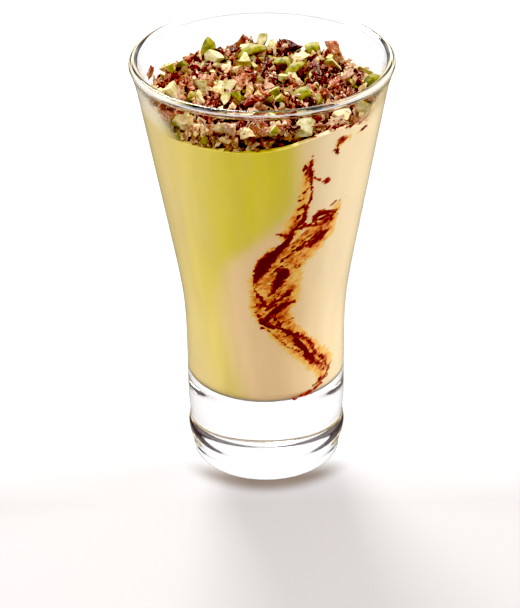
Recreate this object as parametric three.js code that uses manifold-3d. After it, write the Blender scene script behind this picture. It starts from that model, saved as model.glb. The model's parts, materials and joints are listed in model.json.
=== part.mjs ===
// Tall flared dessert glass with a heavy base, filled with pistachio and custard ice cream,
// a chocolate ripple that runs in from the front wall, and a layer of chopped nuts and praline.
// Millimetres, +Z up, origin at the middle of the base, front towards -Y.

import * as THREE from 'three';
import { mergeVertices } from 'three/addons/utils/BufferGeometryUtils.js';
import Module from 'manifold-3d';

const wasm = await Module();
wasm.setup();

// Glass
const HEIGHT = 137;
const BODY_RADIUS = 25;
const FLARE_Z = 56;
const FLARE_SLOPE = 0.178;
const FLARE_BLEND = 5;
const LIP_FLARE = 1;
const LIP_FLARE_HEIGHT = 10;
const LIP_RADIUS = 1.2;
const WALL_LOW = 2.7;
const WALL_HIGH = 2.4;
const FLOOR_Z = 29;
const FLOOR_CORNER = 4;
const FOOT_FLAT_RADIUS = 21.4;
const FOOT_CORNER = 2.3;
// Foot outline over the bottom corner, as [radius, z]: a shallow bead, a waist, then the body
const FOOT_OUTLINE = [[23.9, 4.6], [25.1, 9.5], [24.6, 14], [BODY_RADIUS, 20]];
const FOOT_STEPS = 8;
// Heights at which the wall has a ring of points, closer where it bends
const WALL_RINGS = [48, 54, 60, 68, 80, 96, 112, 122, 130];
const TURN_STEPS = 48;

// Contents
const GAP = 0.3;
const FILL_TOP = 122;
const FILL_EDGE_ROUND = 0.8;
const RIPPLE_BACK = -4;
// Ice cream pressed up the wall at the front right, by azimuth from the front towards +X
const COLLAR_HEIGHT = 4.6;
const COLLAR_AZIMUTH = 36;
const COLLAR_SPREAD = 24;
const COLLAR_CREST = 1.5;
const COLLAR_WIDTH = 4.4;

// Line where the custard side starts, as [x, z] from the top down
const SPLIT_LINE = [
  [10, 124], [10.5, 110], [9, 101], [0, 91.5], [-10, 81],
  [-12, 70], [-11, 54], [-8, 38], [-4, 26],
];

// Chocolate strands seen from the front, as [x, z, width]
const MAIN_STRAND = [
  [15.2, 121, 1], [14.3, 112, 2.2], [13.4, 103, 3.4], [8, 93, 4.4], [1.2, 84.5, 4.2],
  [-2, 74, 3.8], [-2, 65, 4.4], [1.5, 59, 4.6], [8, 55, 4.8], [14, 47, 5.4],
  [17.8, 39.5, 4.6], [14.5, 33.2, 1.6],
];
const RIGHT_STRAND = [[22.2, 101.8, 1], [19.4, 97.5, 3.6], [15.6, 91.5, 5], [9, 86.5, 4.4], [2, 84, 3]];
const INNER_STRAND = [[13, 84.4, 1], [6.4, 79, 3.6], [3.8, 72.6, 4], [5.2, 68, 3.4], [0, 62.5, 4]];
const STEPS_PER_STATION = 2;

// Nut layer
const CORE_TOP = 126.8;
const CORE_INSET = 2.6;
const CORE_STEPS = 24;
// The layer keeps away from the wall at the front right
const BARE_RIM_INSET = 3.6;
const BARE_RIM_AZIMUTH = 24;
const BARE_RIM_SPREAD = 26;
const PIECE_CLEARANCE = 0.45;
const SUNK_SHARE = 0.3;
const SMALL_PIECE = 4.6;
const TILT = 60;
const PITCH = 32;
const SEED = 55433;

// Shapes of the broken pieces: width and depth as shares of the length, flat cut and roughness
const PISTACHIO = { width: [0.5, 0.62], depth: [0.46, 0.56], cut: 0.2, rough: 0.08 };
const PRALINE = { width: [0.62, 0.85], depth: [0.5, 0.75], cut: 0.5, rough: 0.16 };
const PISTACHIO_SHARE = 0.38;

// Large pistachio pieces on top, as [x, y, length, heading]
const LARGE_PISTACHIOS = [
  [-17, 21, 6.4, 70], [-3.5, 15, 9.6, 12], [-0.5, 24, 5.2, 60], [16, 22, 6.8, 5],
  [-4.5, 7, 5.6, -20], [-15.6, 12, 5.6, 30], [10, 3, 8.4, 40], [31.5, -3, 5.6, 65],
  [3, -11, 6.6, 80], [11.5, -13, 6.2, 10], [-24.5, -12, 6.6, -35], [-18, -18, 5.4, -10],
  [-28.5, 6, 5.4, 60],
];
// Large praline pieces on top, as [x, y, length, heading]
const LARGE_PRALINES = [
  [-22, 13, 6.6, 50], [-9.5, 16, 5.6, 20], [7.4, 19, 7.6, 75], [21.4, 19.5, 6, 85],
  [15, 2, 7.6, 80], [-0.6, 6, 8, 65], [-2, -16, 7.6, 15], [-6, -4, 6.4, 40],
  [26.5, 12, 5, 20], [21.4, -4, 6, 35], [-30, -1, 4.6, 80], [9, -20, 5.4, 5],
];
// More pieces on top, as [length, count]
const TOP_PIECES = [[5.6, 28], [4.4, 40], [3.2, 26]];
const TOP_CLOSENESS = 0.34;
// Rows of pieces round the side, as [length, count, height of the lowest point over the ice cream]
const SIDE_ROWS = [[5.8, 27, 0.5], [4.4, 34, 2]];
const SIDE_REACH = 0.9;

const degrees = (angle) => (angle * Math.PI) / 180;

// Repeatable random numbers from 0 to 1
function randomSource(seed) {
  let state = seed;
  return () => {
    state = (state * 16807) % 2147483647;
    return state / 2147483647;
  };
}

const random = randomSource(SEED);
const between = (low, high) => low + (high - low) * random();

// A closed three.js geometry as a solid that can be joined and cut
function solid(geometry) {
  const plain = geometry.clone();
  plain.deleteAttribute('normal');
  plain.deleteAttribute('uv');
  const merged = mergeVertices(plain, 1e-4);
  const corners = [];
  const index = merged.index.array;
  for (let i = 0; i < index.length; i += 3) {
    const [a, b, c] = [index[i], index[i + 1], index[i + 2]];
    if (a !== b && b !== c && c !== a) corners.push(a, b, c);
  }
  return new wasm.Manifold(new wasm.Mesh({
    numProp: 3,
    vertProperties: new Float32Array(merged.attributes.position.array),
    triVerts: new Uint32Array(corners),
  }));
}

// The largest body of a solid, without sealed hollows or loose scraps
function largestBody(shape) {
  const bodies = shape.decompose();
  return bodies.reduce((best, body) => (body.volume() > best.volume() ? body : best));
}

function toMesh(name, shape, material) {
  const { vertProperties, triVerts } = shape.getMesh();
  const geometry = new THREE.BufferGeometry();
  geometry.setAttribute('position', new THREE.BufferAttribute(new Float32Array(vertProperties), 3));
  geometry.setIndex(new THREE.BufferAttribute(new Uint32Array(triVerts), 1));
  geometry.computeVertexNormals();
  const mesh = new THREE.Mesh(geometry, material);
  mesh.name = name;
  return mesh;
}

// Points [radius, z] turned about +Z
function turned(points, steps = TURN_STEPS) {
  const outline = points.map(([radius, z]) => new THREE.Vector2(radius, z));
  return new THREE.LatheGeometry(outline, steps).rotateX(Math.PI / 2);
}

// Moves every point of a turned shape out by one rule and up by another
function shifted(geometry, outward, upward) {
  const position = geometry.attributes.position;
  for (let i = 0; i < position.count; i += 1) {
    const [x, y, z] = [position.getX(i), position.getY(i), position.getZ(i)];
    const radius = Math.hypot(x, y);
    const share = radius > 0 ? 1 + outward(x, y, z) / radius : 1;
    position.setXYZ(i, x * share, y * share, z + upward(x, y, z));
  }
  return geometry;
}

// A smooth swelling round one azimuth, from 0 to 1
function swelling(x, y, centre, spread) {
  const azimuth = THREE.MathUtils.radToDeg(Math.atan2(x, -y));
  return Math.exp(-(((azimuth - centre) / spread) ** 2));
}

// Radius of the outside above the foot
function outerRadius(z) {
  const flare = FLARE_SLOPE * FLARE_BLEND * Math.log1p(Math.exp((z - FLARE_Z) / FLARE_BLEND));
  const lip = LIP_FLARE * Math.max(0, 1 - (HEIGHT - z) / LIP_FLARE_HEIGHT) ** 2;
  return BODY_RADIUS + flare + lip;
}

function innerRadius(z) {
  const share = THREE.MathUtils.clamp((z - FLARE_Z) / (HEIGHT - FLARE_Z), 0, 1);
  return outerRadius(z) - THREE.MathUtils.lerp(WALL_LOW, WALL_HIGH, share);
}

// Points on a quarter or half circle from one angle to another
function arc(centreRadius, centreZ, radius, from, to, steps) {
  return Array.from({ length: steps + 1 }, (_, i) => {
    const angle = degrees(from + ((to - from) * i) / steps);
    return [centreRadius + radius * Math.cos(angle), centreZ + radius * Math.sin(angle)];
  });
}

function glassOutline() {
  const footCurve = new THREE.SplineCurve([
    new THREE.Vector2(FOOT_FLAT_RADIUS + FOOT_CORNER, FOOT_CORNER),
    ...FOOT_OUTLINE.map(([radius, z]) => new THREE.Vector2(radius, z)),
  ]);
  const lipZ = HEIGHT - LIP_RADIUS;
  const lipCentre = outerRadius(lipZ) - LIP_RADIUS;
  return [
    [0, 0],
    ...arc(FOOT_FLAT_RADIUS, FOOT_CORNER, FOOT_CORNER, -90, 0, 3),
    ...footCurve.getPoints(FOOT_STEPS).slice(1).map((point) => [point.x, point.y]),
    ...WALL_RINGS.map((z) => [outerRadius(z), z]),
    ...arc(lipCentre, lipZ, LIP_RADIUS, 0, 180, 6),
    ...WALL_RINGS.toReversed().map((z) => [innerRadius(z), z]),
    ...arc(innerRadius(FLOOR_Z) - FLOOR_CORNER, FLOOR_Z + FLOOR_CORNER, FLOOR_CORNER, 0, -90, 3),
    [0, FLOOR_Z],
  ];
}

// Height of the ice cream's top over its plain level
function fillRise(x, y) {
  const wallDistance = innerRadius(FILL_TOP) - GAP - Math.hypot(x, y);
  const share = (COLLAR_WIDTH - wallDistance) / (COLLAR_WIDTH - COLLAR_CREST);
  const height = COLLAR_HEIGHT * swelling(x, y, COLLAR_AZIMUTH, COLLAR_SPREAD);
  return height * THREE.MathUtils.clamp(share, 0, 1);
}

// Everything in the glass up to the top of the ice cream
function fillSolid() {
  const low = FLOOR_Z + GAP;
  const corner = FLOOR_CORNER;
  const top = innerRadius(FILL_TOP) - GAP;
  const outline = [
    [0, low],
    ...arc(innerRadius(FLOOR_Z) - GAP - corner, low + corner, corner, -90, 0, 3),
    ...WALL_RINGS.filter((z) => z < FILL_TOP).map((z) => [innerRadius(z) - GAP, z]),
    ...arc(top - FILL_EDGE_ROUND, FILL_TOP - FILL_EDGE_ROUND, FILL_EDGE_ROUND, 0, 90, 2),
    [top - COLLAR_CREST, FILL_TOP],
    [top - COLLAR_WIDTH, FILL_TOP],
    [0, FILL_TOP],
  ];
  const isTop = (z) => z >= FILL_TOP - FILL_EDGE_ROUND - GAP;
  const upward = (x, y, z) => (isTop(z) ? fillRise(x, y) : 0);
  const outward = (x, y, z) => FLARE_SLOPE * upward(x, y, z);
  return solid(shifted(turned(outline), outward, upward));
}

// A flat outline in x and z, run from one y to another
function runBack(points, front, back) {
  const shape = new THREE.Shape(points.map(([x, z]) => new THREE.Vector2(x, z)));
  const geometry = new THREE.ExtrudeGeometry(shape, { depth: back - front, bevelEnabled: false });
  geometry.rotateX(Math.PI / 2);
  geometry.translate(0, back, 0);
  return solid(geometry);
}

// One side of the split line: -1 for the pistachio side, 1 for the custard side
function sideOfSplit(side) {
  const reach = 60;
  const curve = new THREE.SplineCurve(SPLIT_LINE.map(([x, z]) => new THREE.Vector2(x, z)));
  const line = curve.getPoints(16).map((point) => [point.x + (side * GAP) / 2, point.y]);
  const outside = [[side * reach, line.at(-1)[1]], [side * reach, line[0][1]]];
  return runBack([...line, ...outside], -reach, reach);
}

// One chocolate strand, grown on every side by the given amount
function strand(stations, grow) {
  const curve = new THREE.CatmullRomCurve3(stations.map((station) => new THREE.Vector3(...station)));
  const centres = curve.getPoints((stations.length - 1) * STEPS_PER_STATION);
  const left = [];
  const right = [];
  centres.forEach((centre, i) => {
    const before = centres[Math.max(i - 1, 0)];
    const after = centres[Math.min(i + 1, centres.length - 1)];
    const along = new THREE.Vector2(after.x - before.x, after.y - before.y).normalize();
    const half = centre.z / 2 + grow;
    const end = (i === 0 ? -grow : 0) + (i === centres.length - 1 ? grow : 0);
    const x = centre.x + along.x * end;
    const z = centre.y + along.y * end;
    left.push([x - along.y * half, z + along.x * half]);
    right.unshift([x + along.y * half, z - along.x * half]);
  });
  return runBack([...left, ...right], -BODY_RADIUS * 2, RIPPLE_BACK + grow);
}

function ripple(grow) {
  return [RIGHT_STRAND, INNER_STRAND].reduce(
    (joined, stations) => joined.add(strand(stations, grow)),
    strand(MAIN_STRAND, grow),
  );
}

// How far the nut layer stays away from the wall
const bareRim = (x, y) => BARE_RIM_INSET * swelling(x, y, BARE_RIM_AZIMUTH, BARE_RIM_SPREAD);

// Bed that the nut pieces are set in
function nutCore(edge) {
  const low = FILL_TOP + GAP;
  const outline = [
    [0, low], [edge - 1, low], [edge, low + 1], [edge, CORE_TOP - 1], [edge - 1.5, CORE_TOP],
    [0, CORE_TOP],
  ];
  const inset = shifted(turned(outline, CORE_STEPS), (x, y) => -bareRim(x, y), () => 0);
  const upward = (x, y, z) => (z < CORE_TOP - 1.5 ? fillRise(x, y) : 0);
  return solid(shifted(inset, () => 0, upward));
}

// A broken nut piece: a few-sided lump, drawn out along x and cut flat on one side
function nutPiece(length, kind) {
  const geometry = length > SMALL_PIECE
    ? new THREE.IcosahedronGeometry(0.5, 0)
    : new THREE.OctahedronGeometry(0.5, 0);
  const width = between(...kind.width);
  const depth = between(...kind.depth);
  const plain = mergeVertices(geometry.deleteAttribute('normal').deleteAttribute('uv'), 1e-4);
  const position = plain.attributes.position;
  for (let i = 0; i < position.count; i += 1) {
    position.setXYZ(
      i,
      (position.getX(i) + between(-kind.rough, kind.rough)) * length,
      (position.getY(i) + between(-kind.rough, kind.rough)) * length * width,
      (Math.min(position.getZ(i), kind.cut) + between(-0.5, 0.5) * kind.rough) * length * depth,
    );
  }
  return plain;
}

// Moves a placed piece in and up where it is too close to the wall or the ice cream
function fitInside(geometry) {
  const position = geometry.attributes.position;
  const facet = Math.cos(Math.PI / TURN_STEPS);
  const inward = new THREE.Vector2();
  let lift = 0;
  for (let i = 0; i < position.count; i += 1) {
    const [x, y, z] = [position.getX(i), position.getY(i), position.getZ(i)];
    const radius = Math.hypot(x, y);
    const room = innerRadius(z) * facet - PIECE_CLEARANCE - bareRim(x, y);
    if (radius - room > inward.length()) inward.set(-x, -y).setLength(radius - room);
    lift = Math.max(lift, FILL_TOP + fillRise(x, y) + PIECE_CLEARANCE - z);
  }
  geometry.translate(inward.x, inward.y, lift);
  return inward.length() > 0 || lift > 0;
}

// A piece turned at random and set down with its lowest point at the given height, or sunk in the bed
function placedPiece(spot, lowest) {
  const geometry = nutPiece(spot.length, spot.kind);
  geometry.rotateX(degrees(between(-TILT, TILT)));
  geometry.rotateY(degrees(between(-PITCH, PITCH)));
  geometry.rotateZ(degrees(spot.heading));
  geometry.computeBoundingBox();
  const { min, max } = geometry.boundingBox;
  const bottom = lowest ?? CORE_TOP - SUNK_SHARE * (max.z - min.z);
  geometry.translate(spot.x, spot.y, bottom - min.z);
  for (let tries = 0; tries < 4 && fitInside(geometry); tries += 1);
  return solid(geometry);
}

const anyKind = () => (random() < PISTACHIO_SHARE ? PISTACHIO : PRALINE);

// Free spots on top of the bed, largest pieces first, none close to another
function topSpots(taken, limit) {
  const spots = [...taken];
  TOP_PIECES.forEach(([length, count]) => {
    for (let placed = 0, tries = 0; placed < count && tries < count * 60; tries += 1) {
      const radius = limit * Math.sqrt(random());
      const azimuth = between(0, 2 * Math.PI);
      const [x, y] = [radius * Math.cos(azimuth), radius * Math.sin(azimuth)];
      const isFree = spots.every((other) => (
        Math.hypot(other.x - x, other.y - y) > TOP_CLOSENESS * (other.length + length)
      ));
      if (isFree) {
        spots.push({ x, y, length, heading: between(0, 360), kind: anyKind() });
        placed += 1;
      }
    }
  });
  return spots;
}

// Pieces at even steps round the side of the bed, partly set in it
function sidePieces(edge) {
  return SIDE_ROWS.flatMap(([length, count, lowest]) => Array.from({ length: count }, (_, i) => {
    const turn = (360 * (i + between(0, 0.5))) / count;
    const [x, y] = [Math.cos(degrees(turn)), Math.sin(degrees(turn))];
    const radius = edge - bareRim(x, y) + SIDE_REACH;
    const spot = { x: x * radius, y: y * radius, length, kind: anyKind() };
    return placedPiece({ ...spot, heading: turn + between(55, 125) }, FILL_TOP + lowest);
  }));
}

function nutLayer() {
  const listed = (pieces, kind) => (
    pieces.map(([x, y, length, heading]) => ({ x, y, length, heading, kind }))
  );
  const large = [...listed(LARGE_PISTACHIOS, PISTACHIO), ...listed(LARGE_PRALINES, PRALINE)];
  const edge = innerRadius(FILL_TOP) - CORE_INSET;
  const onTop = topSpots(large, edge).map((spot) => placedPiece(spot));
  return largestBody([...onTop, ...sidePieces(edge)].reduce(
    (joined, piece) => joined.add(piece),
    nutCore(edge),
  ));
}

function material(color, roughness, metalness = 0) {
  return new THREE.MeshStandardMaterial({ color, roughness, metalness });
}

const clearGlass = material('#eef3f1', 0.05);
clearGlass.transparent = true;
clearGlass.opacity = 0.3;

const fill = fillSolid();
const chocolate = fill.intersect(ripple(0));
const pistachioSide = fill.intersect(sideOfSplit(-1));
const custardSide = fill.intersect(sideOfSplit(1)).subtract(ripple(GAP));

const group = new THREE.Group();
group.add(
  toMesh('glass', solid(turned(glassOutline())), clearGlass),
  toMesh('pistachio_ice_cream', largestBody(pistachioSide), material('#cbbb4c', 0.6)),
  toMesh('custard_ice_cream', largestBody(custardSide), material('#f1d7a6', 0.6)),
  toMesh('chocolate_ripple', largestBody(chocolate), material('#6a1d10', 0.35)),
  toMesh('nut_topping', nutLayer(), material('#8a4a32', 0.55)),
);

export default group;
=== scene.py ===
import json
import math
import random

import bmesh
import bpy
import numpy as np
from mathutils import Euler, Matrix, Vector, noise

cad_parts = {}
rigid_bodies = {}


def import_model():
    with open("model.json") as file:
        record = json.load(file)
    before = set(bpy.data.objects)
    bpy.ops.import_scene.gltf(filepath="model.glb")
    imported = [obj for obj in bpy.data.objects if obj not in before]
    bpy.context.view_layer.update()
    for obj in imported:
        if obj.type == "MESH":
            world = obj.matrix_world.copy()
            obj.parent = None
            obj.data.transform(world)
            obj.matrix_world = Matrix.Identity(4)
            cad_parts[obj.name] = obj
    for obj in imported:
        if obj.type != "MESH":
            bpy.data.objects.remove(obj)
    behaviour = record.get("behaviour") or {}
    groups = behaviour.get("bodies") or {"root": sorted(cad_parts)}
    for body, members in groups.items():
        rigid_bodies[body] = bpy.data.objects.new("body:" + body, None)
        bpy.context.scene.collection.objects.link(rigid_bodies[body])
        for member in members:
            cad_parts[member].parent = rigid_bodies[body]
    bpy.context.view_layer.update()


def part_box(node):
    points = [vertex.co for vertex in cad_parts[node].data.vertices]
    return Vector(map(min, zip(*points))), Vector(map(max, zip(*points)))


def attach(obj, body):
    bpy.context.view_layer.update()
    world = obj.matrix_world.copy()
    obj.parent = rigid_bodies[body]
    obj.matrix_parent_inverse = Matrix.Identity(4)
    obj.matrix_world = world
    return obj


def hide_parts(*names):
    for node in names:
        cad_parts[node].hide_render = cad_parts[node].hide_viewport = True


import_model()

# Every length below is in millimetres and is turned to metres where a mesh is made
MM = 0.001

# Heights and radii that the frame gives
HEIGHT = round(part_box("glass")[1].z / MM, 2)
RIM_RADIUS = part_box("glass")[1].x / MM
FLOOR_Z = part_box("pistachio_ice_cream")[0].z / MM
HEAP_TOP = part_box("nut_topping")[1].z / MM - 0.05

# Farther out than any part of the glass
BEYOND = 60

# Glass, as turned from its outline. The walls' lines stop short of the top, where the lip begins
BODY_RADIUS = 25
FLARE_Z = 56
FLARE_SLOPE = 0.178
FLARE_BLEND = 5
LIP_FLARE = 1
LIP_FLARE_HEIGHT = 10
LIP_RADIUS = 1.34
WALL_LOW = 2.7
WALL_HIGH = 2.4
OUTER_WALL_STOP = 2.6
INNER_WALL_STOP = 2.2
GAP = 0.3
FLOOR_CORNER = 4
FOOT_FLAT_RADIUS = 21.4
FOOT_CORNER = 2.3
FOOT_OUTLINE = ((23.7, 2.3), (23.9, 4.6), (25.1, 9.5), (24.6, 14), (BODY_RADIUS, 20))
FOOT_TOP = 22
TURN_STEPS = 192
RING_STEPS = 128
WALL_STEPS = 80

# The ice cream reaches this far into the wall, so that no air gap shows
INTO_WALL = 0.15
FILL_TOP = 122
FILL_EDGE_ROUND = 0.4
FILL_STEPS = 90
# Painted shade under the ice cream: up to this height over its floor, and darkest from the first to
# the second distance out to either side
SHADE_HEIGHT = 2
SHADE_TURNS_DARK = (10, 19)

# It is pressed up the wall at the front right
COLLAR_HEIGHT = 4.6
COLLAR_AZIMUTH = 36
COLLAR_SPREAD = 24
COLLAR_CREST = 1.5
COLLAR_WIDTH = 4.4

# Where the custard side starts, as (x, z) from the top down
SPLIT_LINE = (
    (10, 130), (10, 122), (10.5, 110), (9, 101), (0, 91.5), (-10, 81),
    (-12, 70), (-11, 54), (-8, 38), (-4, 26),
)
SPLIT_BLUR = 5

# The greenest part of the pistachio side, as (x, z, half width, share) from the top down
GREEN_BAND = (
    (-1, 124, 24, 1), (-3, 108, 21, 1), (-7.5, 92, 15, 0.92), (-13, 76, 10.5, 0.75), (-14, 60, 8, 0.5),
    (-12, 44, 7, 0.45), (-8, 29, 6, 0.4),
)

# The custard is painted paler towards the right, as painted light on its lit side, and is palest from
# this far to the right on
CUSTARD_LIT_SIDE = (5, 22)

# Dark chocolate strands seen from the front, as (x, z, width)
DARK_STRANDS = (
    (
        (14, 120, 0.4), (13.3, 116, 1.6), (13.5, 111.8, 1.6), (13.7, 107.6, 0.9), (13.3, 103.6, 1),
        (11.9, 100.4, 1.4), (11.2, 96.9, 1.8), (8.6, 94, 1.9), (7, 90.4, 2.2), (4.1, 86.9, 2.6),
        (0.6, 82.9, 3.9), (-1.6, 78.6, 3.4), (-2.7, 75.7, 1.6), (-3.1, 73, 0.7), (-2.6, 71, 0.8),
        (-1.1, 68.3, 1.6), (0.6, 65.1, 1.1),
    ),
    ((3.7, 93, 0.8), (5.9, 92.1, 1.3), (7.7, 91.1, 1.2)),
    ((20.4, 100.6, 1.1), (19.3, 99.7, 0.7)),
    ((17.7, 109.3, 2), (16.6, 109.7, 1.1), (14.4, 111.6, 0.6)),
    ((20.9, 95.5, 0.6), (19.7, 96.9, 1.4), (17.5, 97.8, 2.1), (15.2, 97.3, 2.3), (14.6, 95.1, 1.6)),
    ((18.8, 96.2, 0.9), (17.2, 95.9, 1.7), (15.6, 95.8, 0.9)),
    ((19.7, 94.3, 1), (17.5, 94.4, 1.8), (15.7, 94, 1.2), (12.1, 94.8, 1.4), (10.3, 94.1, 1.1)),
    ((18.3, 90.9, 1.2), (15.8, 89.2, 2.7), (13.8, 87.4, 2.2), (12, 86.7, 1.2)),
    ((13.9, 91.1, 0.8), (12.5, 90.4, 0.6), (10.7, 89.1, 0.6)),
    ((6.3, 79.8, 1), (5.6, 78.6, 3.4), (4.2, 75.4, 3.3), (2.7, 72.2, 2.1), (2, 69.8, 0.7)),
    ((9.1, 72.2, 0.6), (7.3, 70.8, 1.6), (6, 69.5, 2.1), (4.4, 68.5, 1.2)),
    ((8.6, 66.6, 0.8), (6.1, 66, 2.3), (3.5, 64.2, 2.6), (1.3, 62.3, 1.9), (-0.1, 59.2, 2.3)),
    ((6.6, 67.8, 1), (3.5, 68, 1.4), (1.7, 66.6, 1.6), (0.4, 64.2, 1)),
    ((-3.8, 65.1, 0.3), (-1.8, 66.1, 1.8), (0.2, 67, 0.9)),
    (
        (-3.3, 64.4, 0.6), (-1.6, 61.3, 1.4), (-0.5, 58.8, 2.6), (2.1, 57.5, 1.8), (4.7, 56.7, 1.4),
        (7.4, 54.7, 2), (9.6, 53, 2), (12.9, 49.7, 1.4), (14.3, 45.3, 1.3), (16.6, 41.9, 1.3),
        (17.9, 38.2, 0.8),
    ),
    ((8.3, 54.3, 1.4), (9.6, 50.6, 2.5), (11.3, 47, 2.8), (13.6, 42.9, 2.2), (16.8, 39, 1)),
    ((-1.2, 57.9, 1), (1.6, 55.7, 0.7), (3.8, 52.7, 0.8), (6.5, 49.7, 0.8), (10.9, 46.3, 0.6)),
    ((8.5, 80, 0.5), (10.7, 81.1, 0.5), (12.7, 82.7, 0.3)),
    ((6.5, 81.4, 0.3), (8.9, 79.5, 0.4), (11.1, 80.9, 0.2)),
    ((3.4, 58.8, 0.4), (5.9, 59.4, 0.4), (8.3, 60.3, 0.3)),
    ((6.1, 57, 0.4), (8.3, 57.2, 0.4), (10.3, 56.5, 0.2)),
    (
        (19.6, 38.3, 0.4), (18.4, 36.9, 0.9), (17.4, 34.3, 1), (15.2, 32.1, 1.1), (12, 30.9, 1),
        (7.7, 30.1, 0.5),
    ),
    ((23.6, 123.4, 0.6), (22.2, 122.7, 1.8), (21.3, 121.3, 0.9), (20.5, 119.3, 0.3)),
)

# Thin caramel brown smears under them
SMEARS = (
    (
        (14, 120, 0.8), (12.7, 116.2, 2.6), (12.2, 111.6, 3.2), (11.5, 106.5, 3.6), (10.6, 101.3, 4.2),
        (9, 96.9, 5.2), (6.8, 91.9, 5.7),
    ),
    (
        (21.8, 100.6, 1), (19.7, 96.2, 4.2), (17, 92.8, 7.8), (13.4, 89.4, 10.4), (9.4, 87, 12),
        (5.4, 82.4, 13), (3.2, 76.6, 14.6), (2.9, 70.3, 14.4), (2, 64.1, 12.5), (3.8, 58.9, 9.4),
        (7.2, 53.3, 8.4), (10.9, 47.9, 7.6), (14.5, 43.1, 7.2), (16.5, 38.5, 5.6), (15.9, 34.2, 2.6),
        (14, 32.6, 0.8),
    ),
    ((28.4, 122.6, 0.3), (24.7, 122.6, 1.8), (21.8, 121.7, 2.8), (20.6, 119, 0.5)),
    ((29.3, 125.6, 0.2), (25.6, 126.3, 0.5), (21.1, 127.8, 0.5), (16.6, 128.6, 0.4)),
)

# The grid that both are cut from, and how far in from their edges they have their full colour
STRAND_CELL = 0.2
STRAND_STEPS = 24
STRAND_MARGIN = 16
THINNEST_STRAND = 0.2
THICK_SAUCE = 0.9
SMEAR_EDGE = 2

# The sauce was wiped along this slope, which draws its specks out
WIPE_ANGLE = 32
WIPE_STRETCH = 2.2

# Melted cream wiped up the wall, and the degrees from the front between which each side starts.
# The film's lower edge is hidden in the ice cream
WIPED_LAP = 1.2
WIPED_SUNK = 0.08
WIPED_HIGH = 134.5
WIPED_FADE = (0.3, 1)
WIPED_SPREAD = 16
WIPED_LEFT = (54, 70)
WIPED_RIGHT = (58, 76)
WIPED_BACK = (78, 100)
RING_THICKNESS = 0.05

# White painted highlight in the rim, between these distances under the top
RIM_HIGHLIGHT_LOW = 1.9
RIM_HIGHLIGHT_HIGH = 0.9

# Topping. The bed lies under loose pieces that are piled to the heap's height
HEAP_HEIGHT = 128
HEAP_MOUND = 0.8
HEAP_SOFT_TOP = 130.3
BED_HEIGHT = 125
BED_INSET = 3.2
BED_SLOPE = 2
BED_UNDER = 0.3
BED_OVER = 0.4
BED_UNEVEN = 0.5
BARE_RIM_INSET = 3.6
BARE_RIM_AZIMUTH = 24
BARE_RIM_SPREAD = 26
BARE_RIM_TOP = 125.5

# Pile. A piece covers, stands up and sinks in by shares of its size
PILE_REACH = 36
PILE_CELL = 0.5
PILE_SEED = 31415
PILE_PIECES = 1600
SPOTS_TRIED = 10
PIECE_SIZES = (1.4, 5.2, 2.2)
FINE_SIZE = 4
COVER_SHARE = 0.42
TALL_SHARE = 0.6
SUNK_SHARE = 0.25
REST_PERCENTILE = 65
SHAPES_OF_A_KIND = 10
KERNEL_POINT = 0.3
WALL_CLEARANCE = 0.1
CRUMB_DENSITY = 0.22
CRUMB_SIZES = (0.5, 1.7)

# Bits low at the wall are painted paler and warmer as painted light where they lie in shade, more from
# the first to the second of these heights and radii
PAINTED_LIGHT_HEIGHTS = (131, 127)
PAINTED_LIGHT_RADII = (30, 34)
PAINTED_LIGHT_SHARE = 0.4

# Each kind's share of the pile
KIND_SHARES = {"pistachio": 0.13, "praline": 0.73, "almond": 0.14}

# Large pieces that show on top, as (x, y, length, heading, tilt)
LARGE_PIECES = {
    "pistachio": (
        (-16.4, 28.1, 6.6, 80, 60), (-15.1, 20.4, 5.8, 20, 35), (-3, 22.4, 9.8, 12, 15),
        (0.1, 32.8, 5.4, 50, 50), (17.2, 28.8, 6.6, 5, 20), (-4.3, 14.8, 6, -15, 20),
        (9.7, 8, 8.4, 35, 25), (33.3, -0.3, 6.2, 65, 50), (3.2, -7.1, 6.8, 85, 65),
        (11.8, -9.5, 5.8, 10, 30), (-26.4, -6, 6.8, -35, 40), (-18.9, -9.4, 5.2, -10, 25),
        (-11.1, -12.4, 4.6, 60, 40), (-28.7, 13.2, 6, 70, 60), (-27.4, 22.2, 5, 40, 45),
        (-8, -10, 3.8, 80, 60), (-10.5, -1.5, 6, 50, 50), (22, 12, 5.4, -30, 30),
        (6.5, 13.5, 6.2, -10, 20), (31, 10, 5, 20, 50),
    ),
    "praline": (
        (8.1, 26.3, 8.6, 75, 60), (22.7, 25.5, 6.6, 85, 70), (27.2, 20.7, 5, 20, 30),
        (15.4, 4.9, 8, 80, 50), (-0.6, 10.1, 8.4, 65, 55), (-2.5, -12.7, 7.4, 15, 20),
        (-6.1, 0.7, 6.4, 40, 40), (9.6, -14.4, 5, 5, 60),
        (-21.8, 20.9, 7, 50, 30), (-9.6, 24.8, 5.4, 20, 40), (21.6, 0, 5.6, 35, 40),
        (-6.5, 32.5, 5.6, 0, 50), (-24, 5, 6, 30, 20), (2, 3, 5.6, 100, 60), (26, 6, 5.4, 60, 30),
        (17, -6, 5, 20, 20), (-17, 3, 5.4, 130, 40),
    ),
    "almond": ((-13, -5, 5.6, 60, 30), (-11, 12, 4.8, 60, 20), (12, 18, 5.4, 30, 20)),
}

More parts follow.
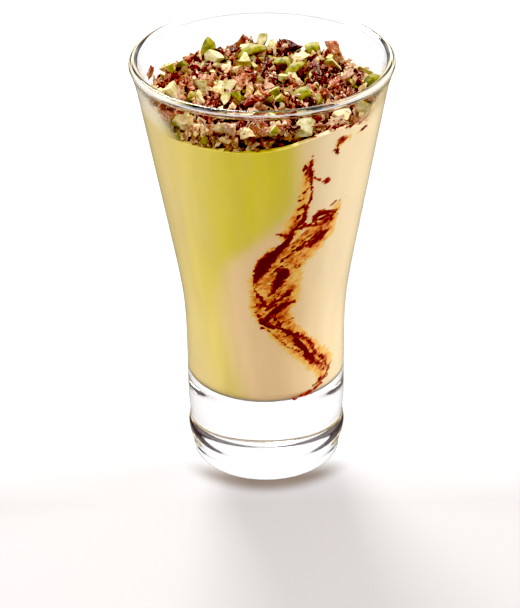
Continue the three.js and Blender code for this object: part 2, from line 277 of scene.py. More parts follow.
# Pieces against the wall that show through it, as (azimuth, height, length)
WALL_PIECES = {
    "pistachio": ((21, 129.4, 6.6), (4.7, 128.2, 6.4), (57, 130, 4)),
    "praline": (
        (-2.5, 128.6, 8), (0.8, 125.4, 6), (-13.8, 124.6, 5), (-26.5, 124.9, 6), (-15.2, 128.4, 6),
        (-35.2, 125.6, 4.6), (14.3, 129.6, 5.4), (27.9, 129, 5.4), (35.9, 130, 5.6), (-52.5, 130.8, 7),
        (8, 130.4, 4.4), (-25, 129, 5), (24.9, 125.4, 2.4), (12, 126.6, 4), (-102, 130.8, 4.8),
    ),
    "almond": (
        (-7.7, 128.2, 5), (-20.4, 130.2, 6), (-29.5, 127.4, 3.8), (-42, 130.4, 7), (43.7, 129.3, 6.4),
        (-18, 125.6, 3.6),
    ),
}

# Colours of the ice creams, of the thin film wiped up beside each, and of the painted shade under them
WHITE = (1, 1, 1, 1)
GREEN_CREAM = "#ecdc5e"
TAN_CREAM = "#e3cc92"
CUSTARD_CREAM = "#fcdaa8"
# The custard's colour where painted light pales its right side
LIT_SIDE_CREAM = "#ffe8bd"
PISTACHIO_HAZE = "#f3e8cf"
CUSTARD_HAZE = "#efdcae"
SHADE_MIDDLE = "#989090"
SHADE_SIDES = "#4a3e40"
# Painted light on bits low at the wall
PAINTED_LIGHT_COLOUR = "#ecbe7c"
# Pale specks on the praline: sugar grains and painted glints
SUGAR_AND_GLINT_COLOUR = "#f6d2b8"

# Colours from thin to thick or from one tone to another, as (position, colour)
CHOCOLATE = ((0, "#d67c56"), (0.3, "#be5646"), (0.62, "#9c4640"), (1, "#7e403e"))
SMEAR = (
    (0, "#f6d89c"), (0.2, "#fed078"), (0.45, "#fdb968"), (0.66, "#ef975c"), (0.85, "#d27650"),
    (1, "#ae544a"),
)
KERNEL_SKIN = (
    (0, "#4e4a10"), (0.35, "#7c761c"), (0.6, "#a29a30"), (0.8, "#a88a40"), (1, "#80503a"),
)
KERNEL_FLESH = ((0, "#9a863e"), (0.3, "#b8aa62"), (0.6, "#dace98"), (1, "#f0e6c6"))
PRALINE = (
    (0, "#3c0706"), (0.3, "#701a14"), (0.54, "#9e3c28"), (0.72, "#c26a49"), (0.86, "#d6936f"),
    (1, "#ebc5a2"),
)
ALMOND = ((0, "#f4e6c0"), (0.6, "#e3c78e"), (1, "#c08a50"))
CRUMB = (
    (0, "#4a120c"), (0.25, "#823c2c"), (0.45, "#b26e54"), (0.65, "#d8a688"), (0.88, "#f6dcc2"),
    (1, "#a89c4c"),
)

# Floor, in front, greyer as painted shade, and behind, with a painted contact shadow in front of the
# base, and painted dark as glass mirrors it
FLOOR_FRONT = "#b6b2b2"
FLOOR_BEHIND = "#cfcfd0"
FLOOR_SHADE = "#80736a"
FLOOR_MIRRORED = "#2c2c2d"
FLOOR_FADE = (-35, 0)
FLOOR_SHADE_FRONT = (-9, -21)
FLOOR_SHADE_RADII = (31.5, 24)
FLOOR_REACH = 3000
FLOOR_UNDER = 0.1

# Daylight by how far a way points to +Y, as (low, high, strength at low, strength at high)
DAYLIGHT = (-0.9, 0.1, 0.1, 0.85)
DAYLIGHT_IN_GLASS = (0.2, 0.4, 0.14, 1)

# Lamps, as (place, width, power)
LAMPS = {
    "back_softbox": ((-160, 720, 760), 300, 5.5),
    "left_softbox": ((-700, 60, 520), 260, 2.1),
    "right_softbox": ((700, 60, 560), 260, 3.65),
    "front_softbox": ((-260, -620, 900), 300, 3.4),
}
LAMP_AIM_Z = 70

# Camera, from the ellipses of the rim, the level and the base
CAMERA_DISTANCE = 750
CAMERA_PITCH = 29.6
CAMERA_TARGET_Z = 52
CAMERA_SIDE = -1.6
CAMERA_ROLL = 0.79
FOCAL_PIXELS = 2369
PHOTO_SIZE = (520, 608)
SENSOR = 36

# The photo's blacks are clear of the haze that glass gives
BLACK_LEVEL = 0.06
EXPOSURE = 0.3


# Helpers

def hex_colour(text):
    """An sRGB hex colour as linear RGBA."""
    channels = [int(text[i:i + 2], 16) / 255 for i in (1, 3, 5)]
    linear = [c / 12.92 if c <= 0.04045 else ((c + 0.055) / 1.055) ** 2.4 for c in channels]
    return (*linear, 1)


def node(tree, kind, inputs=None, **settings):
    """Adds a node. A socket, or a node's first output, is linked to an input, and a value is set."""
    made = tree.nodes.new(kind)
    for name, value in settings.items():
        setattr(made, name, value)
    for key, value in (inputs or {}).items():
        if isinstance(value, bpy.types.Node):
            value = value.outputs[0]
        if isinstance(value, bpy.types.NodeSocket):
            tree.links.new(value, made.inputs[key])
        else:
            made.inputs[key].default_value = value
    return made


def calc(tree, operation, *values, kind="Math", **settings):
    """A Math node, or a VectorMath node, on values in their order."""
    inputs = dict(enumerate(values))
    return node(tree, "ShaderNode" + kind, inputs, operation=operation, **settings)


def smooth_step(value, low, high):
    share = np.clip((value - low) / (high - low), 0, 1)
    return share * share * (3 - 2 * share)


def spline(points, steps):
    """Points on a Catmull-Rom curve through the given ones, with steps between each two."""
    fixed = [np.array(p, float) for p in points]
    ends = [2 * fixed[0] - fixed[1], *fixed, 2 * fixed[-1] - fixed[-2]]
    found = []
    for a, b, c, d in zip(ends, ends[1:], ends[2:], ends[3:]):
        for step in range(steps):
            t = step / steps
            found.append(0.5 * (
                2 * b + (c - a) * t + (2 * a - 5 * b + 4 * c - d) * t**2
                + (3 * b - a - 3 * c + d) * t**3
            ))
    return np.array([*found, fixed[-1]])


def arc(centre_radius, centre_z, radius, start, stop, steps):
    angles = np.radians(np.linspace(start, stop, steps + 1))
    return [(centre_radius + radius * math.cos(a), centre_z + radius * math.sin(a)) for a in angles]


def outer_radius(z):
    """Radius of the outside of the glass above its foot."""
    flare = FLARE_SLOPE * FLARE_BLEND * np.log1p(np.exp((z - FLARE_Z) / FLARE_BLEND))
    lip = LIP_FLARE * np.maximum(0, 1 - (HEIGHT - z) / LIP_FLARE_HEIGHT) ** 2
    return BODY_RADIUS + flare + lip


def inner_radius(z):
    share = np.clip((z - FLARE_Z) / (HEIGHT - FLARE_Z), 0, 1)
    return outer_radius(z) - WALL_LOW - (WALL_HIGH - WALL_LOW) * share


def swelling(x, y, centre, spread):
    """A smooth swelling round one azimuth, counted from the front towards +X, from 0 to 1."""
    azimuth = np.degrees(np.arctan2(x, -y))
    return np.exp(-(((azimuth - centre) / spread) ** 2))


def fill_rise(x, y):
    """Height of the ice cream's top over its plain level."""
    wall_distance = inner_radius(FILL_TOP) - np.hypot(x, y)
    share = smooth_step(COLLAR_WIDTH - wall_distance, 0, COLLAR_WIDTH - COLLAR_CREST)
    return COLLAR_HEIGHT * swelling(x, y, COLLAR_AZIMUTH, COLLAR_SPREAD) * share


def mesh_points(mesh):
    """The mesh's points in millimetres."""
    flat = np.empty(len(mesh.vertices) * 3, np.float32)
    mesh.vertices.foreach_get("co", flat)
    return flat.reshape(-1, 3) / MM


def set_points(mesh, points):
    mesh.vertices.foreach_set("co", (points * MM).astype(np.float32).ravel())
    mesh.update()


def store(mesh, name, values, kind="FLOAT"):
    """Stores a number, a vector or a whole number for each point."""
    layer = mesh.attributes.new(name, kind, "POINT")
    flat = np.ravel(values).astype(np.int32 if kind == "INT" else np.float32)
    layer.data.foreach_set("vector" if kind == "FLOAT_VECTOR" else "value", flat)


def new_object(name, mesh):
    made = bpy.data.objects.new(name, mesh)
    bpy.context.scene.collection.objects.link(made)
    return made


def mesh_object(name, points, edges=(), faces=()):
    """A new object from points in millimetres."""
    mesh = bpy.data.meshes.new(name)
    mesh.from_pydata([tuple(c * MM for c in p) for p in points], edges, faces)
    return new_object(name, mesh)


def with_modifiers_applied(source, name):
    """A plain copy of what the modifiers make of an object, which is removed."""
    graph = bpy.context.evaluated_depsgraph_get()
    mesh = bpy.data.meshes.new_from_object(source.evaluated_get(graph))
    mesh.name = name
    bpy.data.objects.remove(source)
    return new_object(name, mesh)


def run_nodes(source, tree, name, **inputs):
    """Runs a geometry tree with its named inputs on an object and gives the plain mesh."""
    modifier = source.modifiers.new("nodes", "NODES")
    modifier.node_group = tree
    for item in tree.interface.items_tree:
        if item.in_out == "INPUT" and item.name in inputs:
            modifier[item.identifier] = inputs[item.name]
    return with_modifiers_applied(source, name)


def outward(piece):
    """Points the faces of a closed piece outwards."""
    shape = bmesh.new()
    shape.from_mesh(piece.data)
    bmesh.ops.remove_doubles(shape, verts=shape.verts, dist=1e-7)
    bmesh.ops.recalc_face_normals(shape, faces=shape.faces)
    shape.to_mesh(piece.data)
    shape.free()
    return piece


def geometry_tree(name, **inputs):
    """A new geometry tree with a Geometry input, the named inputs and a Geometry output."""
    tree = bpy.data.node_groups.new(name, "GeometryNodeTree")
    tree.interface.new_socket("Geometry", in_out="INPUT", socket_type="NodeSocketGeometry")
    for label, kind in inputs.items():
        tree.interface.new_socket(label, in_out="INPUT", socket_type="NodeSocket" + kind)
    tree.interface.new_socket("Geometry", in_out="OUTPUT", socket_type="NodeSocketGeometry")
    return tree, node(tree, "NodeGroupInput").outputs


def finish_tree(tree, geometry, painted):
    """Ends a tree with Realize Instances and Set Material."""
    realized = node(tree, "GeometryNodeRealizeInstances", {"Geometry": geometry})
    covered = node(tree, "GeometryNodeSetMaterial", {"Geometry": realized, "Material": painted})
    node(tree, "NodeGroupOutput", {0: covered})
    return tree


# Materials

def new_material(name):
    """A material with an empty node tree."""
    made = bpy.data.materials.new(name)
    made.use_nodes = True
    made.node_tree.nodes.clear()
    return made, made.node_tree


def material(name, surface, **values):
    """A material with one Principled shader, its plain values and what the surface gives."""
    made, tree = new_material(name)
    place = node(tree, "ShaderNodeTexCoord").outputs["Object"]
    shader = node(tree, "ShaderNodeBsdfPrincipled", {**values, **surface(tree, place)})
    node(tree, "ShaderNodeOutputMaterial", {"Surface": shader})
    return made


def spread(tree, value, low, high, least=0, most=1, **settings):
    """A value's way from low to high, as a number from least to most."""
    inputs = dict(enumerate((value, low, high, least, most)))
    return node(tree, "ShaderNodeMapRange", inputs, **settings)


def noise_value(tree, place, size, least=0, most=1, detail=2, roughness=0.5):
    """A noise of features about this many millimetres wide."""
    made = node(tree, "ShaderNodeTexNoise", {
        "Vector": place, "Scale": 1 / (size * MM), "Detail": detail, "Roughness": roughness,
    })
    return spread(tree, made, 0.3, 0.7, least, most)


def between(tree, length, low, high, **settings):
    """A length's share of the way from one size in millimetres to another."""
    return spread(tree, length, low * MM, high * MM, **settings)


def axis_distance(tree, place):
    """Level distance from the glass's axis."""
    level = calc(tree, "MULTIPLY", place, (1, 1, 0), kind="VectorMath")
    return calc(tree, "LENGTH", level, kind="VectorMath").outputs["Value"]


def mix(tree, share, first, second):
    """One colour turned into another by a share from 0 to 1."""
    colours = [hex_colour(c) if isinstance(c, str) else c for c in (first, second)]
    made = node(tree, "ShaderNodeMix", {0: share, 6: colours[0], 7: colours[1]}, data_type="RGBA")
    return made.outputs[2]


def ramp(tree, value, stops):
    """Colours along a value, as (position, hex colour)."""
    made = node(tree, "ShaderNodeValToRGB", {0: value})
    band = made.color_ramp
    while len(band.elements) < len(stops):
        band.elements.new(1)
    for element, (position, colour) in zip(band.elements, stops):
        element.position = position
        element.color = hex_colour(colour)
    return made


def own_value(tree, name):
    return node(tree, "ShaderNodeAttribute", attribute_name=name).outputs["Fac"]


def bump(tree, height, depth, strength=1):
    """A surface roughened by a height from 0 to 1 that stands for this depth in millimetres."""
    inputs = {"Height": height, "Strength": strength, "Distance": depth * MM}
    return node(tree, "ShaderNodeBump", inputs)


def soda_lime_glass():
    """Pressed soda-lime glass: colourless, clear and polished. Lamps pass through it."""
    made, tree = new_material("pressed_soda_lime_glass")
    clear = node(tree, "ShaderNodeBsdfGlass", {"Color": WHITE, "Roughness": 0, "IOR": 1.52})
    passing = node(tree, "ShaderNodeBsdfTransparent")
    path = node(tree, "ShaderNodeLightPath").outputs
    lets_through = calc(tree, "MAXIMUM", path["Is Shadow Ray"], path["Is Diffuse Ray"])
    mixed = node(tree, "ShaderNodeMixShader", {0: lets_through, 1: clear, 2: passing})
    node(tree, "ShaderNodeOutputMaterial", {"Surface": mixed})
    return made


def cream_colour(tree, place):
    """The two flavours' colour, streaked upright, with each drifting softly into the other."""
    upright = node(tree, "ShaderNodeMapping", {"Vector": place, "Scale": (1, 1, 0.2)})
    drift = noise_value(tree, upright, 9, -0.16, 0.16, 3)
    green, custard = [
        calc(tree, "ADD", own_value(tree, name), drift, use_clamp=True)
        for name in ("green_share", "custard_share")
    ]
    pistachio_side = mix(tree, green, TAN_CREAM, GREEN_CREAM)
    # The custard is painted paler towards its right side as painted light
    custard_side = mix(tree, own_value(tree, "custard_lit_share"), CUSTARD_CREAM, LIT_SIDE_CREAM)
    both = mix(tree, custard, pistachio_side, custard_side)
    cloud = noise_value(tree, upright, 5, 0.97, 1.03)
    return node(tree, "ShaderNodeHueSaturation", {"Color": both, "Value": cloud})


def gelato(name):
    """Churned gelato: matt and smooth, with grey shade painted under it, darkest towards both sides.
    """
    def surface(tree, place):
        shade = mix(tree, own_value(tree, "painted_shade_sides"), SHADE_MIDDLE, SHADE_SIDES)
        colour = mix(tree, own_value(tree, "painted_shade_under"), cream_colour(tree, place), shade)
        return {"Base Color": colour, "Normal": bump(tree, noise_value(tree, place, 1.2), 0.05, 0.3)}
    return material(name, surface, Roughness=0.5, IOR=1.4)


def chocolate_sauce():
    """Set chocolate sauce: dark and glossy where thick, red brown where it thins out."""
    def surface(tree, place):
        depth = calc(tree, "MULTIPLY", own_value(tree, "depth"), 1 / THICK_SAUCE)
        thick = calc(tree, "ADD", depth, noise_value(tree, place, 0.8, -0.5, 0.35), use_clamp=True)
        return {
            "Base Color": ramp(tree, thick, CHOCOLATE),
            "Normal": bump(tree, noise_value(tree, place, 0.9), 0.1, 0.5),
        }
    return material("chocolate_sauce", surface, Roughness=0.28, IOR=1.5)


def along_wipe(tree, place):
    """A place turned and squeezed so that a pattern is drawn out along the wiping."""
    turn = {"Vector": place, "Angle": math.radians(WIPE_ANGLE)}
    turned_place = node(tree, "ShaderNodeVectorRotate", turn, rotation_type="Y_AXIS")
    return calc(tree, "MULTIPLY", turned_place, (1 / WIPE_STRETCH, 1, 1), kind="VectorMath")


def caramel_smear():
    """Sauce wiped thin over cream: streaks of gold and caramel brown with red brown specks."""
    def surface(tree, place):
        wiped = along_wipe(tree, place)
        edge = calc(tree, "MULTIPLY", own_value(tree, "depth"), 1 / SMEAR_EDGE, use_clamp=True)
        streak = noise_value(tree, wiped, 1.6, 0, 1.15, 4, 0.7)
        brown = calc(tree, "MULTIPLY", streak, edge, use_clamp=True)
        return {
            "Base Color": ramp(tree, brown, SMEAR),
            "Normal": bump(tree, noise_value(tree, wiped, 0.6), 0.08, 0.5),
        }
    return material("wiped_caramel_smear", surface, Roughness=0.4, IOR=1.45)


def pistachio_kernel():
    """Shelled pistachio: olive green with a little brown skin outside, pale yellow where cut."""
    def surface(tree, place):
        tone = calc(tree, "MULTIPLY", own_value(tree, "tone"), 0.4)
        mottled = calc(tree, "ADD", tone, noise_value(tree, place, 1.8, -0.05, 0.65, 3))
        skin, flesh = [ramp(tree, mottled, stops) for stops in (KERNEL_SKIN, KERNEL_FLESH)]
        return {
            "Base Color": mix(tree, own_value(tree, "flesh"), skin, flesh),
            "Normal": bump(tree, noise_value(tree, place, 0.7, detail=4), 0.15, 0.7),
        }
    return material("shelled_pistachio", surface, Roughness=0.42, IOR=1.46)


def painted_light_at_wall(tree, place, colour):
    """Painted light: paler and warmer low at the wall, where the bits lie in shade."""
    height = node(tree, "ShaderNodeSeparateXYZ", {0: place}).outputs["Z"]
    low = between(tree, height, *PAINTED_LIGHT_HEIGHTS)
    near = between(tree, axis_distance(tree, place), *PAINTED_LIGHT_RADII)
    share = calc(tree, "MULTIPLY", calc(tree, "MULTIPLY", low, near), PAINTED_LIGHT_SHARE)
    return mix(tree, share, colour, PAINTED_LIGHT_COLOUR)


def praline():
    """Caramel praline broken into bits: glossy maroon to amber, with patches of pale specks that are
    both sugar grains and painted glints.
    """
    def surface(tree, place):
        grain = noise_value(tree, place, 1.6, -0.15, 0.2, 3, 0.6)
        caramel = ramp(tree, calc(tree, "ADD", own_value(tree, "tone"), grain), PRALINE)
        grains = noise_value(tree, place, 0.5, -2.4, 2, 1)
        patches = noise_value(tree, place, 2.6, -0.4, 1.4, 1)
        # Pale specks: sugar grains, and painted glints
        sugar = [node(tree, "ShaderNodeClamp", {0: value}) for value in (grains, patches)]
        sugared_with_glints = mix(tree, calc(tree, "MULTIPLY", *sugar), caramel, SUGAR_AND_GLINT_COLOUR)
        return {
            # Bits low at the wall get painted light
            "Base Color": painted_light_at_wall(tree, place, sugared_with_glints),
            "Normal": bump(tree, noise_value(tree, place, 0.8, detail=5, roughness=0.7), 0.35),
        }
    return material("caramel_praline", surface, Roughness=0.25, IOR=1.5)


def almond():
    """Chopped blanched almond: cream white, darker where it was toasted."""
    def surface(tree, place):
        tone = calc(tree, "MULTIPLY", own_value(tree, "tone"), 0.5)
        toast = calc(tree, "ADD", tone, noise_value(tree, place, 2, 0, 0.5))
        return {
            "Base Color": ramp(tree, toast, ALMOND),
            "Normal": bump(tree, noise_value(tree, place, 0.8, detail=4), 0.15, 0.7),
        }
    return material("chopped_almond", surface, Roughness=0.5, IOR=1.46)


def nut_crumb():
    """Fine nut and caramel crumbs: each has one colour, from dark caramel to pale nut."""
    def surface(tree, place):
        return {
            # Crumbs low at the wall get painted light
            "Base Color": painted_light_at_wall(tree, place, ramp(tree, own_value(tree, "tone"), CRUMB)),
            "Normal": bump(tree, noise_value(tree, place, 0.4), 0.1, 0.6),
        }
    return material("nut_and_caramel_crumb", surface, Roughness=0.4, IOR=1.46)


def wiped_cream():
    """Melted cream wiped up the glass: it covers next to the ice cream and thins to a pale haze."""
    def surface(tree, place):
        cover = own_value(tree, "cover")
        cloud = noise_value(tree, place, 5, -0.3, 0.3, 4, 0.6)
        uneven = calc(tree, "MULTIPLY", cloud, calc(tree, "SUBTRACT", 1, cover))
        haze = mix(tree, own_value(tree, "custard_share"), PISTACHIO_HAZE, CUSTARD_HAZE)
        return {
            "Alpha": calc(tree, "MULTIPLY", cover, calc(tree, "ADD", 1, uneven), use_clamp=True),
            "Base Color": mix(tree, own_value(tree, "thickness"), haze, cream_colour(tree, place)),
        }
    return material("wiped_cream_film", surface, Roughness=0.5, IOR=1.4)


def rim_frost():
    """White painted highlight in the rim, where the rim would otherwise carry the cream's colour up.
    """
    def surface(tree, place):
        patches = noise_value(tree, place, 3, 0.8, 1.1)
        alpha = calc(tree, "MULTIPLY", own_value(tree, "highlight_share"), patches, use_clamp=True)
        return {"Base Color": WHITE, "Alpha": alpha}
    return material("painted_highlight_in_rim", surface, Roughness=0.6, IOR=1.31)


glass_material = soda_lime_glass()
pistachio_material = gelato("pistachio_gelato")
custard_material = gelato("custard_gelato")
chocolate_material = chocolate_sauce()
smear_material = caramel_smear()
KIND_MATERIALS = {"pistachio": pistachio_kernel(), "praline": praline(), "almond": almond()}
crumb_material = nut_crumb()
wiped_material = wiped_cream()
rim_material = rim_frost()


# Turned shapes

def turned_tree():
    """Turns a line of points in XZ about Z, with one ring for each point."""
    tree, given = geometry_tree("turned_about_z", Steps="Int", Material="Material")
    count = node(
        tree, "GeometryNodeAttributeDomainSize", {"Geometry": given["Geometry"]}, component="MESH"
    )
    grid = node(tree, "GeometryNodeMeshGrid", {
        "Size X": 1, "Size Y": 1, "Vertices X": calc(tree, "ADD", given["Steps"], 1),
        "Vertices Y": count,
    })
    across = node(tree, "ShaderNodeSeparateXYZ", {0: grid.outputs["UV Map"]}).outputs
    row = calc(tree, "MULTIPLY", across["Y"], calc(tree, "SUBTRACT", count, 1))
    outline = node(tree, "GeometryNodeSampleIndex", {
        "Geometry": given["Geometry"], "Value": node(tree, "GeometryNodeInputPosition"),
        "Index": calc(tree, "ROUND", row),
    }, data_type="FLOAT_VECTOR", domain="POINT")
    point = node(tree, "ShaderNodeSeparateXYZ", {0: outline}).outputs
    angle = calc(tree, "MULTIPLY", across["X"], math.tau)
    x, y = [
        calc(tree, "MULTIPLY", calc(tree, turn, angle), point["X"]) for turn in ("SINE", "COSINE")
    ]
    on_ring = node(tree, "ShaderNodeCombineXYZ", {"X": x, "Y": y, "Z": point["Z"]})
    moved = node(tree, "GeometryNodeSetPosition", {"Geometry": grid, "Position": on_ring})
    closed = node(tree, "GeometryNodeMergeByDistance", {"Geometry": moved, "Distance": 0.002 * MM})
    smooth = node(tree, "GeometryNodeSetShadeSmooth", {"Geometry": closed})
    return finish_tree(tree, smooth, given["Material"])


def turned(name, outline, painted, steps=TURN_STEPS):
    points = [(radius, 0, z) for radius, z in outline]
    edges = [(i, i + 1) for i in range(len(points) - 1)]
    line = mesh_object(name, points, edges)
    return outward(run_nodes(line, TURNED, name, Steps=steps, Material=painted))


TURNED = turned_tree()


def glass_outline():
    """Half of the glass's section, from the middle of its foot round the lip to its floor."""
    lean = math.atan(float(outer_radius(HEIGHT) - outer_radius(HEIGHT - 2)) / 2)
    lip_z = HEIGHT - LIP_RADIUS
    lip_centre = RIM_RADIUS - LIP_RADIUS - 0.01
    reaches = (outer_radius(lip_z) - lip_centre, lip_centre - inner_radius(lip_z))
    outside, inside = [math.acos(reach * math.cos(lean) / LIP_RADIUS) for reach in reaches]
    start, stop = [math.degrees(angle - lean) for angle in (-outside, math.pi + inside)]
    low = FLOOR_Z - GAP
    outer_wall = np.linspace(FOOT_TOP, HEIGHT - OUTER_WALL_STOP, WALL_STEPS)
    inner_wall = np.linspace(HEIGHT - INNER_WALL_STOP, low + FLOOR_CORNER + 1, WALL_STEPS)
    return [
        (0, 0),
        *arc(FOOT_FLAT_RADIUS, FOOT_CORNER, FOOT_CORNER, -90, 0, 8),
        *spline(FOOT_OUTLINE, 6)[1:],
        *[(outer_radius(z), z) for z in outer_wall],
        *arc(lip_centre, lip_z, LIP_RADIUS, start, stop, 24),
        *[(inner_radius(z), z) for z in inner_wall],
        *arc(inner_radius(low) - FLOOR_CORNER, low + FLOOR_CORNER, FLOOR_CORNER, 0, -90, 8),
        (0, low),
    ]


glass = turned("clear_glass", glass_outline(), glass_material)


# Ice cream

def fill_outline():
    """Half of the section of all the ice cream, a little into the wall."""
    low = FLOOR_Z - GAP - INTO_WALL
    wall = np.linspace(low + FLOOR_CORNER + 1, FILL_TOP - FILL_EDGE_ROUND, FILL_STEPS)[:-1]
    foot = inner_radius(low) + INTO_WALL
    top = inner_radius(FILL_TOP) + INTO_WALL
    collar = np.linspace(1, COLLAR_WIDTH + 1, 14)
    return [
        (0, low),
        *arc(foot - FLOOR_CORNER, low + FLOOR_CORNER, FLOOR_CORNER, -90, 0, 8),
        *[(inner_radius(z) + INTO_WALL, z) for z in wall],
        *arc(top - FILL_EDGE_ROUND, FILL_TOP - FILL_EDGE_ROUND, FILL_EDGE_ROUND, 0, 90, 4),
        *[(top - inset, FILL_TOP) for inset in collar],
        *[(radius, FILL_TOP) for radius in np.linspace(top - COLLAR_WIDTH - 3, 0, 12)],
    ]


def raise_collar(piece):
    """Presses the top edge up the wall at the front right."""
    points = mesh_points(piece.data)
    x, y, z = points.T
    top = smooth_step(z, FILL_TOP - 6, FILL_TOP - FILL_EDGE_ROUND)
    rise = fill_rise(x, y) * top
    radius = np.maximum(np.hypot(x, y), 1e-6)
    on_wall = radius > inner_radius(z) - 0.05
    share = np.where(on_wall, (inner_radius(z + rise) + INTO_WALL) / radius, 1)
    share = np.where(on_wall, share, 1 + FLARE_SLOPE * rise / radius)
    set_points(piece.data, np.stack([x * share, y * share, z + rise], 1))


def split_x(z):
    """Where the custard side starts at a height."""
    line = spline(SPLIT_LINE, 8)[::-1]
    return np.interp(z, line[:, 1], line[:, 0])


def store_flavours(piece):
    """How much of the custard, and how much of the greenest cream, there is at each point."""
    x, y, z = mesh_points(piece.data).T
    store(piece.data, "custard_share", smooth_step(x - split_x(z), -SPLIT_BLUR, SPLIT_BLUR))
    # How much painted light pales the custard towards the right
    store(piece.data, "custard_lit_share", smooth_step(x, *CUSTARD_LIT_SIDE))
    band = spline(GREEN_BAND, 8)[::-1]
    middle, half_width, share = [np.interp(z, band[:, 1], band[:, i]) for i in (0, 2, 3)]
    from_middle = np.where(y < 0, np.abs(x - middle), BEYOND)
    store(piece.data, "green_share", share * np.exp(-((from_middle / half_width) ** 2)))


def split_prism():
    """A block that holds the custard side."""
    line = spline(SPLIT_LINE, 4)
    points = []
    for y in (-BEYOND, BEYOND):
        points += [(x, y, z) for x, z in line]
        points += [(BEYOND, y, line[-1][1]), (BEYOND, y, line[0][1])]
    count = len(points) // 2
    sides = [(i, (i + 1) % count, (i + 1) % count + count, i + count) for i in range(count)]
    faces = [tuple(range(count)), tuple(range(2 * count - 1, count - 1, -1)), *sides]
    return outward(mesh_object("split_prism", points, faces=faces))


def ice_cream(name, operation, painted, block):
    """One side of the ice cream, with the split cut by a block."""
    piece = turned(name, fill_outline(), painted)
    raise_collar(piece)
    cut = piece.modifiers.new("split", "BOOLEAN")
    cut.operation = operation
    cut.solver = "EXACT"
    cut.object = block
    piece = with_modifiers_applied(piece, name)
    piece.data.materials.clear()
    piece.data.materials.append(painted)
    piece.data.set_sharp_from_angle(angle=math.radians(40))
    store_flavours(piece)
    x, _, z = mesh_points(piece.data).T
    # Shares of the painted shade under the ice cream and of its darker sides
    store(piece.data, "painted_shade_under", 1 - smooth_step(z, FLOOR_Z, FLOOR_Z + SHADE_HEIGHT))
    store(piece.data, "painted_shade_sides", smooth_step(np.abs(x), *SHADE_TURNS_DARK))
    return piece


prism = split_prism()
pistachio_fill = ice_cream("pistachio_gelato_fill", "DIFFERENCE", pistachio_material, prism)
custard_fill = ice_cream("custard_gelato_fill", "INTERSECT", custard_material, prism)
bpy.data.objects.remove(prism)


# Chocolate ripple

def upright_grid(tree, box, cell):
    """A grid of cells in XZ that is a little larger than a box."""
    reach = calc(tree, "SUBTRACT", box["Max"], box["Min"], kind="VectorMath")
    wide = calc(tree, "ADD", reach, [STRAND_MARGIN * MM] * 3, kind="VectorMath")
    cells = calc(tree, "MULTIPLY", wide, calc(tree, "DIVIDE", 1, cell), kind="VectorMath")
    size, count = [node(tree, "ShaderNodeSeparateXYZ", {0: sides}).outputs for sides in (wide, cells)]
    grid = node(tree, "GeometryNodeMeshGrid", {
        "Size X": size["X"], "Size Y": size["Z"], "Vertices X": count["X"], "Vertices Y": count["Z"],
    })
    both = calc(tree, "ADD", box["Max"], box["Min"], kind="VectorMath")
    middle = calc(tree, "MULTIPLY", both, [0.5] * 3, kind="VectorMath")
    flat = node(tree, "ShaderNodeSeparateXYZ", {0: node(tree, "GeometryNodeInputPosition")}).outputs
    upright = node(tree, "ShaderNodeCombineXYZ", {"X": flat["X"], "Z": flat["Y"]})
    return node(tree, "GeometryNodeSetPosition", {
        "Geometry": grid, "Position": calc(tree, "ADD", upright, middle, kind="VectorMath"),
    })


def strand_tree():
    """Keeps the cells of a grid that lie on strands seen from the front, with ragged edges."""
    tree, given = geometry_tree(
        "strands_on_a_grid", Cell="Float", Ragged="Float", Grain="Float", Material="Material"
    )
    strands = given["Geometry"]
    box = node(tree, "GeometryNodeBoundBox", {"Geometry": strands}).outputs
    grid = upright_grid(tree, box, given["Cell"])
    spot = node(tree, "GeometryNodeInputPosition")
    nearest = node(
        tree, "GeometryNodeSampleNearest", {"Geometry": strands, "Sample Position": spot},
        domain="POINT",
    )
    width = node(tree, "GeometryNodeInputNamedAttribute", {"Name": "half_width"}, data_type="FLOAT")
    middle, half_width = [
        node(tree, "GeometryNodeSampleIndex", {
            "Geometry": strands, "Value": value, "Index": nearest,
        }, data_type=kind, domain="POINT")
        for value, kind in ((spot, "FLOAT_VECTOR"), (width, "FLOAT"))
    ]
    away = calc(tree, "DISTANCE", spot, middle, kind="VectorMath").outputs["Value"]
    rough = node(tree, "ShaderNodeTexNoise", {
        "Vector": along_wipe(tree, spot), "Scale": calc(tree, "DIVIDE", 1, given["Grain"]),
        "Detail": 3, "Roughness": 0.6,
    })
    shift = calc(tree, "MULTIPLY", calc(tree, "SUBTRACT", rough, 0.5), given["Ragged"])
    depth = calc(tree, "ADD", calc(tree, "SUBTRACT", half_width, away), shift)
    marked = node(tree, "GeometryNodeStoreNamedAttribute", {
        "Geometry": grid, "Name": "depth", "Value": calc(tree, "MULTIPLY", depth, 1 / MM),
    }, data_type="FLOAT", domain="POINT")
    outside = node(
        tree, "FunctionNodeCompare", {"A": depth, "B": 0}, operation="LESS_THAN", data_type="FLOAT"
    )
    kept = node(
        tree, "GeometryNodeDeleteGeometry", {"Geometry": marked, "Selection": outside},
        domain="POINT",
    )
    return finish_tree(tree, kept, given["Material"])


